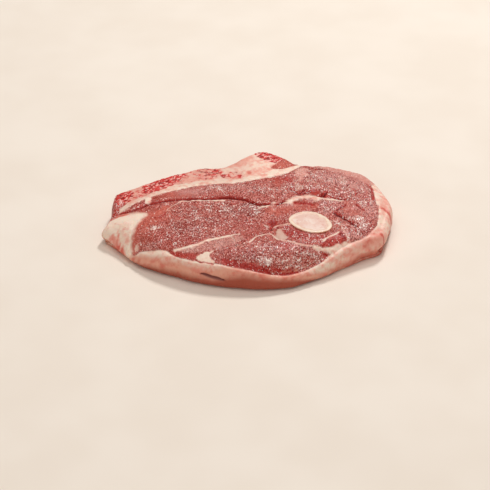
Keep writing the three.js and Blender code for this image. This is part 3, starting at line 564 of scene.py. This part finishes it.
class Tissue:
    """The chop's pattern at some points: where each tissue lies, and how far it stands out."""

    def __init__(self, points):
        self.points = points
        self.xy = points[:, :2]
        x, y, _ = points.T
        low = points * np.array([1, 1, 0.5])
        self.mottle = rough(low, 3.2, 3, 11)
        self.sway = rough(low, 6.0, 2, 23)
        self.ragged = rough(low, 1.7, 2, 29)
        self.bent = self.xy + 0.5 * np.stack([self.sway, self.mottle], 1)
        self.lean = outside(self.bent, lean_loop)
        self.band = outside(self.bent, band_loop)
        self.bone = outside(self.xy, bone_loop)
        self.core = outside(self.xy, core_loop)
        gap, side, self.cleft_share = line_distance(self.bent, spline(CLEFT, step=1.5))
        self.cleft = gap * side
        self.deep = smooth(-19, -13, x) * (1 - smooth(10, 19, x))
        self.left_end = smooth(-50, -62, x) * smooth(4, -3, y) * smooth(-34, -30, y)
        self.zones = [(*self.zone_mask(loop, soft), rise, shares) for loop, soft, rise, shares in ZONES]
        self.lines = [(*self.line_mask(path, half), rise, shares) for path, half, rise, shares in LINES]

    def zone_mask(self, loop, soft):
        """Which points the zone may reach, and how much of it is there."""
        at = within(self.bent, loop, 3 + 2 * soft)
        edge = spline(loop, True, 1.0)
        gap = outside(self.bent[at], edge) + 0.6 * soft * (self.mottle[at] + self.ragged[at])
        return at, smooth(soft, -soft, gap)

    def line_mask(self, path, width):
        """Which points the line may reach, and how much of it is there."""
        at = within(self.bent, path, 4 * width + 2)
        gap = line_distance(self.bent[at], spline(path, step=1.0))[0]
        thin = 1 + 0.35 * self.mottle[at] + 0.4 * self.ragged[at]
        return at, bell(gap / thin, width * 1.1)

    def cleft_ends(self, left, right):
        """Fades the cleft in and out over those shares of its length."""
        return smooth(0, left, self.cleft_share) * smooth(0, right, 1 - self.cleft_share)

    def relief(self, up, side, down):
        """How far each point moves out along the slice's surface, in mm."""
        x, y, _ = self.points.T
        p, cleft, deep = self.points, self.cleft, self.deep
        meat = smooth(0.6, -0.6, self.lean)
        band = smooth(0.6, -0.6, self.band)
        fat = (1 - meat) * (1 - band)
        fine = rough(p, 1.9, 2, 9, (1, 0.6, 1))
        lift = meat * (0.16 * fine + 0.28 * rough(p, 7, 2, 5))
        lift += meat * smooth(-4, 30, x) * 0.28 * rough(p, 3.6, 2, 51, (1, 0.8, 1))
        ends = self.cleft_ends(0.12, 0.1)
        lift += 0.75 * smooth(-0.2, 1.6, cleft) * bell(cleft, 9) * ends
        lift += 0.35 * bell(cleft + 2.0, 1.3) * ends
        lift -= (0.55 + 1.1 * deep) * bell(cleft, 0.5 + 0.2 * deep) * ends
        lift += band * (0.45 * bell(self.band + 2.2, 1.8) + 0.22 * rough(p, 4.5, 3, 31))
        lift += fat * (0.3 * rough(p, 11, 2, 41) + 0.07 * rough(p, 2.4, 2, 43))
        rim_line = 0.08 * bell(self.lean - 1.5, 1.2) * fat - 0.2 * bell(self.lean, 0.7) * (1 - band)
        lift += rim_line * (1 - self.left_end)
        for at, mask, rise, shares in self.zones:
            lift[at] += rise * mask
            if "rib" in shares:
                lift[at] += mask * shares["rib"] * 0.4 * rough(p[at], 1.7, 2, 37)
        for at, mask, rise, _ in self.lines:
            lift[at] += rise * mask
        for middle, radius in HOLES:
            lift -= HOLE_DEPTH * bell(np.hypot(x - middle[0], y - middle[1]), radius)
        bone = smooth(0.25, -0.25, self.bone)
        lift = lift * (1 - bone) + bone * (BONE_RISE + 0.05 * fine)
        lift -= MOAT_DEPTH * bell(self.bone - 0.8, 0.8) * (1 - bone)
        lift -= bone * smooth(0.3, -0.3, self.core) * (CORE_SINK + 0.06 * fine)
        return up * lift + side * self.side_relief(band) + down * 0.12 * (fine - 1)

    def side_relief(self, band):
        """How far the slice's side moves out."""
        p = self.points
        x, y, z = p.T
        flank = 0.5 * rough(p, 13, 2, 61, (1, 1, 0.6)) + 0.2 * rough(p, 4.2, 2, 67)
        flank += 0.7 * rough(p, 8, 2, 91, (1, 1, 0.4)) * smooth(48, 66, x) * smooth(0, -12, y)
        front = smooth(-20, -34, y)
        flank += 0.14 * rough(p, 2.6, 2, 71, (1, 1, 0.25)) * smooth(16, 4, z) * front
        flank -= SLIT_DEPTH * self.slit()
        torn = 0.5 * rough(p, 5, 3, 79, (1, 1, 0.5)) - 0.3 * np.abs(rough(p, 2.2, 2, 73))
        flank += band * torn
        return flank - self.undercut()

    def undercut(self):
        """How far the side is drawn in near the bottom, where the fat hangs over it."""
        x, y, z = self.points.T
        right = bell(x - 73, 13) * (y < -8) * (2.6 + 1.4 * rough(self.points, 9, 1, 83, (1, 1, 0.2)))
        left = 2.6 * bell(x + 84, 9) * bell(y + 20, 10)
        pinch = 1.3 * bell(x + 67.4, 1.6) * (y < -32)
        return (right + left) * smooth(8.5, 3, z) + pinch * smooth(1, 6, z)

    def slit(self):
        """How much of the dark slit in the side of the fat is there."""
        (left, right), height, half = SLIT
        x, y, z = self.points.T
        run = smooth(left - 2, left + 3.5, x) * smooth(right + 3, right - 4, x)
        middle = height - SLIT_SLOPE * (x - left)
        return smooth(0, 0.3, run) * bell(z - middle, half * (0.2 + 0.8 * run)) * (y < -40)

    def shares(self, up):
        """The named shares, mostly from 0 to 1, that the materials mix their colours by."""
        x, y, z = self.points.T
        names = ("fat", "blood", "grey", "salmon", "rib", "pink", "tone", "glint")
        made = {name: np.zeros(len(x)) for name in names}
        made["glint"] += BASE_GLINT

        def at_least(name, value):
            made[name] = np.maximum(made[name], value)

        in_band = smooth(0.4, -0.4, self.band + 0.3 * self.mottle)
        at_least("fat", smooth(-0.55, 0.55, self.lean + 0.4 * self.mottle))
        at_least("fat", self.left_end * smooth(-3.4, 1.6, self.lean + 0.8 * self.mottle))
        at_least("fat", smooth(0.55, 0.35, np.abs(up)) * smooth(-30, -38, y))
        at_least("fat", in_band)
        thinner = 2.2 * smooth(-46, -60, x)
        ridge = smooth(5.2 - thinner, 3.6 - thinner, np.abs(self.band + 1.5) + 0.8 * self.mottle)
        far_back = in_band * (1 - ridge) * smooth(-14, -22, x)
        made["pink"] += 0.24 * far_back + 0.15 * in_band * (1 - ridge)
        made["rib"] += 0.38 * far_back
        made["tone"] -= 0.45 * in_band * smooth(16, -8, x)
        for middle, reach, rises in FIELDS:
            spread = bell(x - middle[0], reach[0]) * bell(y - middle[1], reach[1])
            for name, rise in rises.items():
                made[name] += rise * spread
        right_side = smooth(72, 84, x + 3 * self.sway) * smooth(-22, 6, y + 6 * self.sway)
        low_right = smooth(44, 66, x + 3 * self.sway) * smooth(-8, -24, y + 3 * self.mottle)
        left_side = smooth(-64, -72, x) * smooth(-10, -16, y) * smooth(0.9, 0.6, up)
        at_least("pink", 0.3 * right_side)
        at_least("pink", 0.32 * low_right)
        at_least("pink", 0.95 * left_side)
        for at, mask, _, values in self.zones + self.lines:
            for name, value in values.items():
                made[name][at] += (value - made[name][at]) * mask
        for middle, radius in HOLES:
            spot = bell(np.hypot(x - middle[0], y - middle[1]), radius)
            at_least("blood", spot)
            made["fat"] *= 1 - spot
        for middle, radius in PALE_SPOTS:
            gap = np.hypot(x - middle[0], (y - middle[1]) * 0.8) / radius + 0.9 * self.mottle
            at_least("fat", 0.65 * smooth(1.6, 0.4, gap + 0.5 * self.ragged))
        ends = self.cleft_ends(0.05, 0.06)
        wet = bell(self.cleft - 0.9, 0.7) * 0.42 * ends * (0.4 + 0.6 * self.deep)
        gash = bell(self.cleft - 0.1, 0.68 + 0.1 * self.deep) * (0.82 + 0.16 * self.deep) * ends
        at_least("blood", np.maximum(gash, wet))
        made["fat"] *= 1 - gash
        made["glint"] *= 1 - gash
        # Painted shade: round the middle of the front, the rim's top gets a lower face and height share,
        # so it takes the darker side colours
        front = smooth(-28, 2, x) * smooth(46, 22, x) * smooth(-44, -52, y)
        made["face"] = up - 0.45 * front
        made["marrow"] = smooth(1.1, -1.1, self.core + 1.1 * self.mottle + 0.4 * self.ragged)
        made["slit"] = self.slit()
        # Height share for the fat's top or side colours: lowered at the front as painted shade, raised at
        # the right as painted light
        made["height"] = z / surface_height(self.xy, UPPER_EDGE) + 0.5 * left_side
        made["height"] -= 0.5 * front + 0.1 * smooth(-16, -30, x) * smooth(-30, -38, y)
        made["height"] += 0.22 * smooth(26, 50, x) + 0.2 * low_right + 0.4 * in_band
        return made


# --------------------------------------
# The relief slice and its pieces


def relief_slice():
    """The whole slice as one fine mesh, with its relief."""
    obj = lofted("Chop_Slice", slice_rings())
    remesh = obj.modifiers.new("Remesh", "REMESH")
    remesh.mode = "VOXEL"
    remesh.voxel_size = VOXEL
    applied(obj)
    mesh = obj.data
    points, normal = positions(mesh), normals(mesh)
    up = smooth(0.25, 0.85, normal[:, 2])
    down = smooth(0.5, 0.95, -normal[:, 2])
    side = np.clip(1 - up - down, 0, 1)
    move = Tissue(points).relief(up, side, down)
    flat = normal * np.array([1, 1, 0])
    flat /= np.maximum(np.linalg.norm(flat, axis=1), 1e-6)[:, None]
    upright = np.array([0, 0, 1])
    heading = up[:, None] * upright + side[:, None] * flat - down[:, None] * upright
    points = points + heading * move[:, None]
    points[:, 2] = np.maximum(points[:, 2], 0)
    mesh.vertices.foreach_set("co", points.astype(np.float32).ravel())
    mesh.update()
    return obj


def prism(loop):
    """A cutter as wide as the loop, from under the slice to over it."""
    loop = turned_right(loop)
    return lofted("Cutter", [at_height(loop, CUTTER_BOTTOM), at_height(loop, CUTTER_TOP)])


def cut(source, name, keep, drop=()):
    """A new object: the source inside one prism and outside the others."""
    obj = source.copy()
    obj.data = source.data.copy()
    obj.name = name
    scene.collection.objects.link(obj)
    cutters = [(keep, "INTERSECT")] if keep else []
    for cutter, operation in cutters + [(other, "DIFFERENCE") for other in drop]:
        modifier = obj.modifiers.new("Cut", "BOOLEAN")
        modifier.solver = "MANIFOLD"
        modifier.operation = operation
        modifier.object = cutter
    applied(obj)
    return obj


def finish_mesh(obj):
    """Gives the mesh the pattern's shares, moves it to metres, and smooths its shading."""
    mesh = obj.data
    points = positions(mesh)
    nearest = [whole_tree.find(point)[1] for point in points]
    for name, value in whole_shares.items():
        attribute = mesh.attributes.new(name, "FLOAT", "POINT")
        attribute.data.foreach_set("value", value[nearest].astype(np.float32))
    mesh.vertices.foreach_set("co", ((points - MIDDLE) * MM).astype(np.float32).ravel())
    mesh.shade_smooth()
    mesh.set_sharp_from_angle(angle=math.radians(SHARP_ANGLE))
    mesh.update()


whole = relief_slice()
whole_points = positions(whole.data)
whole_shares = Tissue(whole_points).shares(normals(whole.data)[:, 2])
whole_tree = KDTree(len(whole_points))
for index, point in enumerate(whole_points):
    whole_tree.insert(point, index)
whole_tree.balance()
loops = (lean_loop, band_loop, bone_loop, core_loop, *rib_loops)
lean_prism, band_prism, bone_prism, core_prism, *rib_prisms = map(prism, loops)

band_part = cut(whole, "Band_Part", band_prism)
recipes = [
    ("Chop_Lean", whole, lean_prism, [bone_prism], "lean", "lean_meat"),
    ("Chop_Fat", whole, None, [lean_prism, band_prism], "fat_rim", "fat"),
    ("Chop_Band", whole, band_prism, rib_prisms, "rib_band", "connective"),
    ("Arm_Bone", whole, bone_prism, [core_prism], "arm_bone", "hard_bone"),
    ("Arm_Bone_Core", whole, core_prism, [], "arm_bone_core", "bone_core"),
]
for i, rib_prism in enumerate(rib_prisms, 1):
    recipes.append((f"Rib_{i}", band_part, rib_prism, [], f"rib_{i}", "rib_bone"))
pieces = []
for name, source, keep, drop, node, slot in recipes:
    pieces.append((cut(source, name, keep, drop), node, slot))
for helper in [whole, band_part, lean_prism, band_prism, bone_prism, core_prism, *rib_prisms]:
    helper_mesh = helper.data
    bpy.data.objects.remove(helper)
    bpy.data.meshes.remove(helper_mesh)
for piece, _, _ in pieces:
    finish_mesh(piece)

# --------------------------------------
# Materials


def colour(red, green, blue):
    """A colour as it shows on a screen, from 0 to 255, in the linear values that nodes use."""
    values = []
    for level in (red, green, blue):
        c = level / 255
        values.append(c / 12.92 if c <= 0.04045 else ((c + 0.055) / 1.055) ** 2.4)
    return (*values, 1.0)


class Shader:
    """Small helper that lays out one procedural material."""

    def __init__(self, name, roughness, specular, coat=0.0, subsurface=0.0, reach=(1, 0.4, 0.25)):
        self.material = bpy.data.materials.new(name)
        self.material.use_nodes = True
        self.tree = self.material.node_tree
        self.bsdf = self.tree.nodes["Principled BSDF"]
        surface = {
            "Roughness": roughness,
            "Specular IOR Level": specular,
            "Coat Weight": coat,
            "Coat Roughness": 0.12,
            "Subsurface Weight": subsurface,
            "Subsurface Radius": reach,
            "Subsurface Scale": 2.2 * MM,
        }
        for socket, value in surface.items():
            self.bsdf.inputs[socket].default_value = value
        self.place = self.node("ShaderNodeTexCoord").outputs["Object"]

    def node(self, kind, **settings):
        made = self.tree.nodes.new(kind)
        for key, value in settings.items():
            setattr(made, key, value)
        return made

    def link(self, source, target):
        """Joins an output to a socket, or sets the socket to a constant."""
        if isinstance(source, (int, float, tuple)):
            target.default_value = source
        else:
            self.tree.links.new(source, target)

    def share(self, name):
        """One of the shares that the mesh carries."""
        return self.node("ShaderNodeAttribute", attribute_name=name).outputs["Fac"]

    def mapped(self, kind, size_mm, longer, turn):
        """A texture whose features have that size, are longer along some axes, and are turned in plan."""
        mapping = self.node("ShaderNodeMapping", vector_type="TEXTURE")
        mapping.inputs["Scale"].default_value = longer
        mapping.inputs["Rotation"].default_value = (0, 0, math.radians(turn))
        self.link(self.place, mapping.inputs["Vector"])
        texture = self.node(kind)
        texture.inputs["Scale"].default_value = 1000 / size_mm
        self.link(mapping.outputs["Vector"], texture.inputs["Vector"])
        return texture

    def noise(self, size_mm, detail, longer=(1, 1, 1), turn=0, distortion=0.0):
        texture = self.mapped("ShaderNodeTexNoise", size_mm, longer, turn)
        texture.inputs["Detail"].default_value = detail
        texture.inputs["Roughness"].default_value = 0.55
        texture.inputs["Distortion"].default_value = distortion
        return texture.outputs["Fac"]

    def specks(self, size_mm, longer, density):
        """Scattered dots, in about that share of the cells."""
        texture = self.mapped("ShaderNodeTexVoronoi", size_mm, longer, 0)
        split = self.node("ShaderNodeSeparateColor")
        self.link(texture.outputs["Color"], split.inputs["Color"])
        chosen = self.ramp(self.plus(split.outputs["Red"], density), 0.98, 1.02)
        return self.times(chosen, self.ramp(texture.outputs["Distance"], 0.5, 0.25))

    def ramp(self, value, low, high, start=0.0, end=1.0):
        """Goes smoothly from start to end as the value goes from low to high."""
        node = self.node("ShaderNodeMapRange", interpolation_type="SMOOTHSTEP")
        sockets = {"Value": value, "From Min": low, "From Max": high, "To Min": start, "To Max": end}
        for socket, source in sockets.items():
            self.link(source, node.inputs[socket])
        return node.outputs["Result"]

    def math(self, operation, a, b):
        node = self.node("ShaderNodeMath", operation=operation)
        self.link(a, node.inputs[0])
        self.link(b, node.inputs[1])
        return node.outputs[0]

    def plus(self, a, b):
        return self.math("ADD", a, b)

    def times(self, a, b):
        return self.math("MULTIPLY", a, b)

    def mix(self, share, a, b):
        """Colour a where the share is 0, colour b where it is 1."""
        node = self.node("ShaderNodeMix", data_type="RGBA", clamp_factor=True)
        self.link(share, node.inputs[0])
        self.link(a, node.inputs[6])
        self.link(b, node.inputs[7])
        return node.outputs[2]

    def bump(self, height, distance_mm, strength):
        node = self.node("ShaderNodeBump")
        node.inputs["Strength"].default_value = strength
        node.inputs["Distance"].default_value = distance_mm * MM
        self.link(height, node.inputs["Height"])
        return node.outputs["Normal"]

    def output(self, base, roughness=None, normal=None):
        sources = {"Base Color": base, "Roughness": roughness, "Normal": normal, "Coat Normal": normal}
        for socket, source in sources.items():
            if source:
                self.link(source, self.bsdf.inputs[socket])
        return self.material


LEAN_ROSE = colour(186, 86, 72)
LEAN_RED = colour(174, 60, 48)
LEAN_BROWN = colour(150, 62, 46)
LEAN_UMBER = colour(136, 50, 36)
LEAN_DARK = colour(112, 26, 16)
LEAN_PALE = colour(222, 168, 160)
LEAN_DEEP = colour(118, 22, 12)
SALMON = colour(212, 106, 86)
WET_RED = colour(190, 50, 40)
WET_DEEP = colour(146, 24, 18)
BLOOD = colour(104, 8, 4)
GREY_PINK = colour(222, 150, 140)
GREY_DARK = colour(130, 36, 28)
CREAM = colour(244, 219, 199)
FAT_PINK = colour(236, 164, 146)
FAT_RED = colour(216, 104, 88)
FAT_DULL = colour(196, 150, 134)
# Side of the fat: its own tan and red with painted warm bounce light; the low colour is painted shade
FLANK_TAN = colour(228, 164, 140)
FLANK_RED = colour(216, 120, 100)
FLANK_LOW_SHADE = colour(169, 77, 54)
SLIT_BROWN = colour(132, 68, 60)
# Painted highlight: the colour of the wet glints on the meat
PAINTED_GLINT = colour(255, 238, 228)
BONE_CREAM = colour(246, 222, 198)
BONE_GREY = colour(240, 212, 190)
BONE_SEAM = colour(226, 172, 142)
CORE_PINK = colour(230, 190, 174)
CORE_PALE = colour(240, 216, 202)
CORE_RED = colour(214, 146, 124)
BONE_EDGE = colour(226, 150, 104)
RIB_RED = colour(204, 54, 48)
RIB_DARK = colour(130, 18, 10)
RIB_PALE = colour(244, 178, 166)


def flesh(name, roughness, specular, coat, subsurface):
    """Muscle, fat, fascia and spongy bone in one pattern, with painted glints and shade, so that colours
    run on across edges.
    """
    s = Shader(name, roughness, specular, coat, subsurface)
    fat, blood, grey, rib = (s.share(key) for key in ("fat", "blood", "grey", "rib"))
    face, glint, tone = s.share("face"), s.share("glint"), s.share("tone")
    pinkness, level = s.share("pink"), s.share("height")
    across = s.node("ShaderNodeSeparateXYZ")
    s.link(s.place, across.inputs["Vector"])
    streaky = s.ramp(across.outputs["X"], -12 * MM, -34 * MM)
    grain = s.noise(0.62, 1, (1, 1.7, 1), distortion=0.2)
    fibre = s.noise(2.4, 3, (1, 2.2, 1), distortion=0.5)
    streaks = s.noise(0.8, 2, (1, 4, 1), -24, distortion=0.4)
    broad = s.noise(11, 3)
    pits = s.noise(0.9, 1, (1, 1.8, 1))
    blotch = s.noise(8, 4, distortion=0.5)
    veil = s.noise(3.0, 3, (1, 1, 1.25))

    muscle = s.mix(s.ramp(broad, 0.38, 0.62), LEAN_ROSE, LEAN_RED)
    muscle = s.mix(s.ramp(fibre, 0.45, 0.66, 0, 0.6), muscle, LEAN_BROWN)
    muscle = s.mix(s.times(streaky, s.ramp(streaks, 0.48, 0.34, 0, 0.75)), muscle, LEAN_UMBER)
    muscle = s.mix(s.share("salmon"), muscle, s.mix(s.ramp(fibre, 0.4, 0.65, 0, 0.5), SALMON, LEAN_RED))
    muscle = s.mix(s.ramp(tone, 0.0, 1.0, 0.0, 0.85), muscle, LEAN_PALE)
    muscle = s.mix(s.ramp(tone, 0.0, -1.0, 0.0, 0.85), muscle, LEAN_DEEP)
    busy = s.ramp(glint, 0.05, 0.6, 0.25, 1.0)
    muscle = s.mix(s.times(busy, s.ramp(grain, 0.51, 0.58, 0, 0.62)), muscle, GREY_PINK)
    muscle = s.mix(s.times(busy, s.ramp(grain, 0.47, 0.4, 0, 0.95)), muscle, LEAN_DEEP)
    coarse = s.mix(s.ramp(grain, 0.42, 0.56), GREY_DARK, GREY_PINK)
    muscle = s.mix(s.times(grey, 0.75), muscle, coarse)
    holes = s.times(s.ramp(pits, 0.4, 0.32), s.ramp(glint, 0.0, 0.9, 0.0, 0.8))
    muscle = s.mix(holes, muscle, LEAN_DARK)
    wet = s.mix(s.ramp(grain, 0.36, 0.6), WET_DEEP, WET_RED)
    muscle = s.mix(s.ramp(blood, 0.0, 0.5, 0, 0.9), muscle, wet)
    muscle = s.mix(s.ramp(blood, 0.45, 0.95), muscle, BLOOD)

    pink = s.plus(pinkness, s.ramp(blotch, 0.45, 0.75, 0, 0.35))
    pink = s.plus(pink, s.ramp(veil, 0.42, 0.72, 0, 0.34))
    tallow = s.mix(s.ramp(pink, 0.0, 0.6), CREAM, FAT_PINK)
    tallow = s.mix(s.ramp(pink, 0.5, 1.15), tallow, FAT_RED)
    tallow = s.mix(s.ramp(tone, 0.0, -1.0, 0.0, 0.7), tallow, FAT_DULL)
    # Side of the fat: its own colour with painted warm bounce light, painted darker towards the bottom as
    # shade
    ruddy = s.plus(blotch, s.times(veil, 0.4))
    ruddy = s.plus(ruddy, s.times(pinkness, 0.3))
    flank = s.mix(s.ramp(ruddy, 0.6, 0.86), FLANK_TAN, FLANK_RED)
    flank = s.mix(s.ramp(level, 0.5, 0.05), flank, FLANK_LOW_SHADE)
    # Where the fat faces sideways or sits low it takes the side colours, with their painted shade
    side_and_shade = s.ramp(s.plus(level, s.ramp(blotch, 0.3, 0.7, -0.16, 0.16)), 1.02, 0.55)
    tallow = s.mix(s.times(side_and_shade, s.ramp(face, 0.95, 0.6)), tallow, flank)
    tallow = s.mix(s.ramp(s.share("slit"), 0.1, 0.9), tallow, SLIT_BROWN)
    base = s.mix(s.ramp(fat, 0.05, 0.95), muscle, tallow)

    sponge = s.noise(1.5, 2, (2, 1, 1), 38, distortion=0.5)
    spots = s.noise(1.4, 1, (2, 1, 1), 38)
    bone = s.mix(s.ramp(sponge, 0.49, 0.6), RIB_RED, RIB_PALE)
    bone = s.mix(s.ramp(spots, 0.45, 0.38, 0, 0.85), bone, RIB_DARK)
    ragged_rib = s.plus(rib, s.ramp(veil, 0.35, 0.65, -0.15, 0.15))
    base = s.mix(s.ramp(ragged_rib, 0.3, 0.7), base, bone)

    # Painted highlights: wet glints as pale specks and streaks in the base colour, as dense as the glint
    # share says
    density = s.times(glint, s.ramp(s.noise(7, 3), 0.35, 0.65, 0.09, 0.2))
    threads = s.noise(0.68, 2, (1, 1.8, 1), distortion=0.6)
    painted_glints = s.ramp(s.plus(threads, density), 0.69, 0.74)
    strands = s.plus(streaks, s.times(density, 0.6))
    strands = s.times(streaky, s.ramp(strands, 0.69, 0.75, 0, 0.8))
    painted_glints = s.math("MAXIMUM", painted_glints, strands)
    painted_glints = s.math("MAXIMUM", painted_glints, s.specks(0.7, (1, 1.7, 1), s.times(density, 1.15)))
    painted_glints = s.times(painted_glints, s.ramp(s.noise(2.2, 1), 0.35, 0.65, 0.35, 1.0))
    painted_glints = s.times(painted_glints, s.ramp(fat, 0.3, 0.8, 1.0, 0.0))
    painted_glints = s.times(painted_glints, s.ramp(glint, 0.0, 0.12))
    base = s.mix(painted_glints, base, PAINTED_GLINT)
    bumps = s.plus(s.times(threads, 0.45), s.times(fibre, 0.4))
    height = s.times(bumps, s.ramp(fat, 0.2, 0.9, 1.0, 0.35))
    height = s.plus(height, s.times(veil, 0.5))
    normal = s.bump(height, 0.6, 0.85)
    dull = s.ramp(fat, 0, 1, roughness, 0.45)
    return s.output(base, s.math("SUBTRACT", dull, s.times(painted_glints, 0.2)), normal)


def bone_material(name, coat):
    """Hard ring and soft core, whose colours meet in a soft, uneven line."""
    s = Shader(name, 0.42, 0.5, coat, 0.05, (1, 0.8, 0.6))
    ring = s.mix(s.ramp(s.noise(4, 3), 0.4, 0.62), BONE_CREAM, BONE_GREY)
    core = s.mix(s.ramp(s.noise(7, 3), 0.38, 0.62), CORE_PINK, CORE_PALE)
    core = s.mix(s.ramp(s.noise(1.8, 3), 0.52, 0.7, 0, 0.6), core, CORE_RED)
    marrow = s.share("marrow")
    base = s.mix(marrow, ring, core)
    seam = s.times(s.ramp(marrow, 0.1, 0.5), s.ramp(marrow, 0.9, 0.5, 0, 0.5))
    base = s.mix(seam, base, BONE_SEAM)
    base = s.mix(s.ramp(s.share("face"), 0.93, 0.6), base, BONE_EDGE)
    return s.output(base, None, s.bump(s.noise(1.3, 2), 0.2, 0.6))


materials = {
    "lean_meat": flesh("Lean_Meat", 0.32, 0.2, 0.03, 0.05),
    "fat": flesh("Fat", 0.45, 0.35, 0.06, 0.14),
    "connective": flesh("Fascia", 0.5, 0.2, 0.02, 0.08),
    "rib_bone": flesh("Rib_Bone", 0.5, 0.2, 0.02, 0.04),
    "hard_bone": bone_material("Hard_Bone", 0.12),
    "bone_core": bone_material("Bone_Core", 0.06),
}
for piece, node, slot in pieces:
    piece.data.materials.clear()
    piece.data.materials.append(materials[slot])
    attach(piece, "root")
    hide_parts(node)

# --------------------------------------
# Floor, light and camera

FLOOR_HALF = 3
CAMERA_PLACE = (-0.00157, -0.71228, 0.48660)
CAMERA_TILT = 55
LENS = 104.61

corners = [(x * FLOOR_HALF, y * FLOOR_HALF, 0) for x, y in ((-1, -1), (1, -1), (1, 1), (-1, 1))]
floor = new_object("Floor", corners, [(0, 1, 2, 3)])
floor.location.z = -0.1 * MM
paint = Shader("Floor_Paint", 0.75, 0.2)
patches = paint.ramp(paint.noise(60, 2), 0.3, 0.7)
floor_colour = paint.mix(patches, colour(236, 224, 210), colour(240, 229, 216))
floor.data.materials.append(paint.output(floor_colour))


def area_light(name, place, size, power):
    """A round lamp that points at the origin."""
    light = bpy.data.lights.new(name, "AREA")
    light.shape = "DISK"
    light.size = size
    light.energy = power
    obj = linked(name, light)
    obj.location = place
    obj.rotation_euler = (-Vector(place)).to_track_quat("-Z", "Y").to_euler()


area_light("Key", (0.32, 0.7, 1.12), 0.26, 10.0)
area_light("Top", (-0.1, -0.15, 1.5), 1.1, 6.15)
area_light("Front", (-0.2, -1.0, 0.55), 1.2, 2.2)

world = bpy.data.worlds.new("Studio")
world.use_nodes = True
background = world.node_tree.nodes["Background"]
background.inputs["Color"].default_value = (1, 0.92, 0.85, 1)
background.inputs["Strength"].default_value = 0.31
scene.world = world
scene.view_settings.view_transform = "Standard"

camera_data = bpy.data.cameras.new("Camera")
camera_data.sensor_width = 36
camera_data.lens = LENS
camera = linked("Camera", camera_data)
camera.location = CAMERA_PLACE
camera.rotation_euler = (math.radians(CAMERA_TILT), 0, 0)
scene.camera = camera
